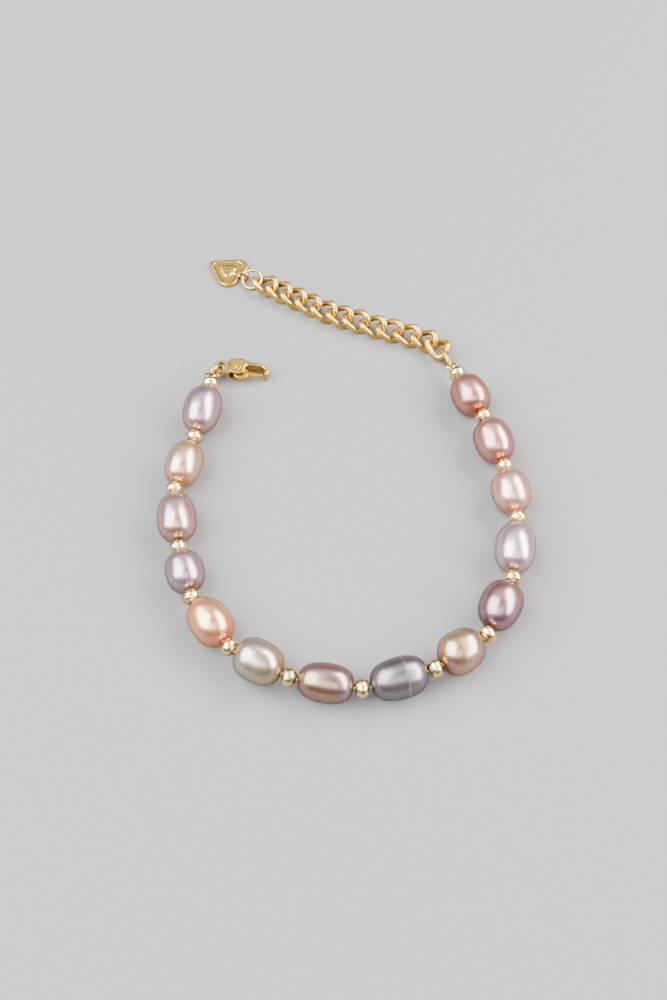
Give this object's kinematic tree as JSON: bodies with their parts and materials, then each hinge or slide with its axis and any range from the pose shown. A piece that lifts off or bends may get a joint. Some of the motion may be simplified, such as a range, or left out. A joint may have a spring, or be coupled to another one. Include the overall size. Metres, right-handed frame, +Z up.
{
  "type": "pearl bracelet",
  "caption": "Unfastened bracelet of oval freshwater pearls and small gold beads, with a lobster clasp at one end and an extender chain with a heart tag at the other.",
  "frame": {"origin": "on the surface the bracelet lies on, under the middle of its box", "axes": "+Z up from the surface; +Y from the front of the pearl loop towards the extender chain; +X from the clasp side to the chain side"},
  "size_m": [0.06, 0.0908, 0.0067],
  "materials": {
    "pearl": "high-lustre nacre, pink to peach",
    "pale_gold": "polished pale gold plate",
    "gold": "polished gold plate"
  },
  "bodies": {
    "bracelet": {"pearl_01": "pearl", "pearl_02": "pearl", "pearl_03": "pearl", "pearl_04": "pearl", "pearl_05": "pearl", "pearl_06": "pearl", "pearl_07": "pearl", "pearl_08": "pearl", "pearl_09": "pearl", "pearl_10": "pearl", "pearl_11": "pearl", "pearl_12": "pearl", "pearl_13": "pearl", "pearl_14": "pearl", "spacer_bead_01": "pale_gold", "spacer_bead_02": "pale_gold", "spacer_bead_03": "pale_gold", "spacer_bead_04": "pale_gold", "spacer_bead_05": "pale_gold", "spacer_bead_06": "pale_gold", "spacer_bead_07": "pale_gold", "spacer_bead_08": "pale_gold", "spacer_bead_09": "pale_gold", "spacer_bead_10": "pale_gold", "spacer_bead_11": "pale_gold", "spacer_bead_12": "pale_gold", "spacer_bead_13": "pale_gold", "spacer_bead_14": "pale_gold", "spacer_bead_15": "pale_gold", "clasp_ring": "gold", "clasp_body": "gold", "clasp_rivet": "gold", "chain_ring": "gold", "chain_link_01": "gold", "chain_link_02": "gold", "chain_link_03": "gold", "chain_link_04": "gold", "chain_link_05": "gold", "chain_link_06": "gold", "chain_link_07": "gold", "chain_link_08": "gold", "chain_link_09": "gold", "chain_link_10": "gold", "chain_link_11": "gold", "chain_link_12": "gold", "tag_ring": "gold", "heart_tag": "gold"},
    "clasp_lever": {"clasp_lever": "gold"}
  },
  "joints": [
    {"name": "clasp_lever_hinge", "type": "hinge", "parent": "bracelet", "child": "clasp_lever", "pos_m": [-0.01853, 0.01731, 0.00159], "axis": [0.1115, 0, 0.9938], "range_deg": [0, 11], "stiffness_Nm_per_rad": 0.0002}
  ]
}
